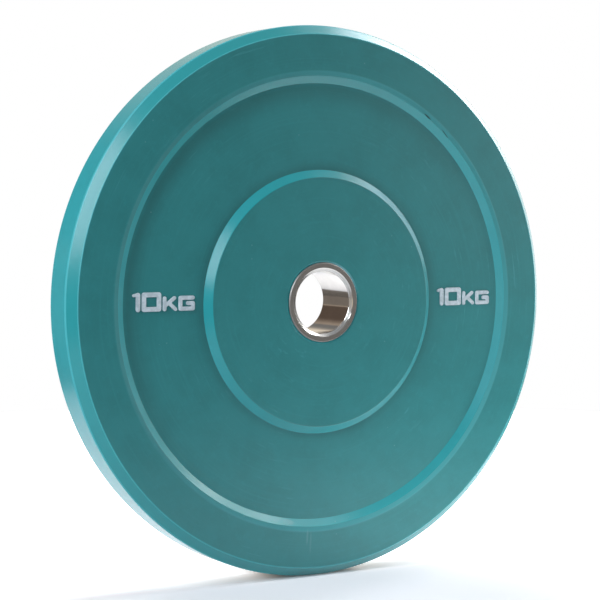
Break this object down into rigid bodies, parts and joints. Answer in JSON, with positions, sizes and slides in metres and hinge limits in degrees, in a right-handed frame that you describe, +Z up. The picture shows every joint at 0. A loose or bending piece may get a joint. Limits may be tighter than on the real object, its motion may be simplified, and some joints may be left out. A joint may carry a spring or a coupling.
{
  "type": "bumper plate",
  "caption": "Rubber weight plate with a raised rim and boss, raised pale weight marks on both faces and a steel hub sleeve for a barbell.",
  "frame": {"origin": "middle of the bore, halfway between the two faces", "axes": "+Y along the bore from the front face to the rear face, +Z up through the plate as it stands with its marks upright"},
  "size_m": [0.45, 0.0448, 0.45],
  "materials": {
    "teal_rubber": "satin moulded",
    "hub_steel": "turned and polished",
    "flange_steel": "as cut",
    "mark_rubber": "matt moulded"
  },
  "bodies": {
    "root": {"rubber_disc": "teal_rubber", "hub_sleeve": "hub_steel", "anchor_flange": "flange_steel", "front_left_digit_1": "mark_rubber", "front_left_digit_0": "mark_rubber", "front_left_letter_k": "mark_rubber", "front_left_letter_g": "mark_rubber", "front_right_digit_1": "mark_rubber", "front_right_digit_0": "mark_rubber", "front_right_letter_k": "mark_rubber", "front_right_letter_g": "mark_rubber", "rear_left_digit_1": "mark_rubber", "rear_left_digit_0": "mark_rubber", "rear_left_letter_k": "mark_rubber", "rear_left_letter_g": "mark_rubber", "rear_right_digit_1": "mark_rubber", "rear_right_digit_0": "mark_rubber", "rear_right_letter_k": "mark_rubber", "rear_right_letter_g": "mark_rubber"}
  },
  "joints": []
}
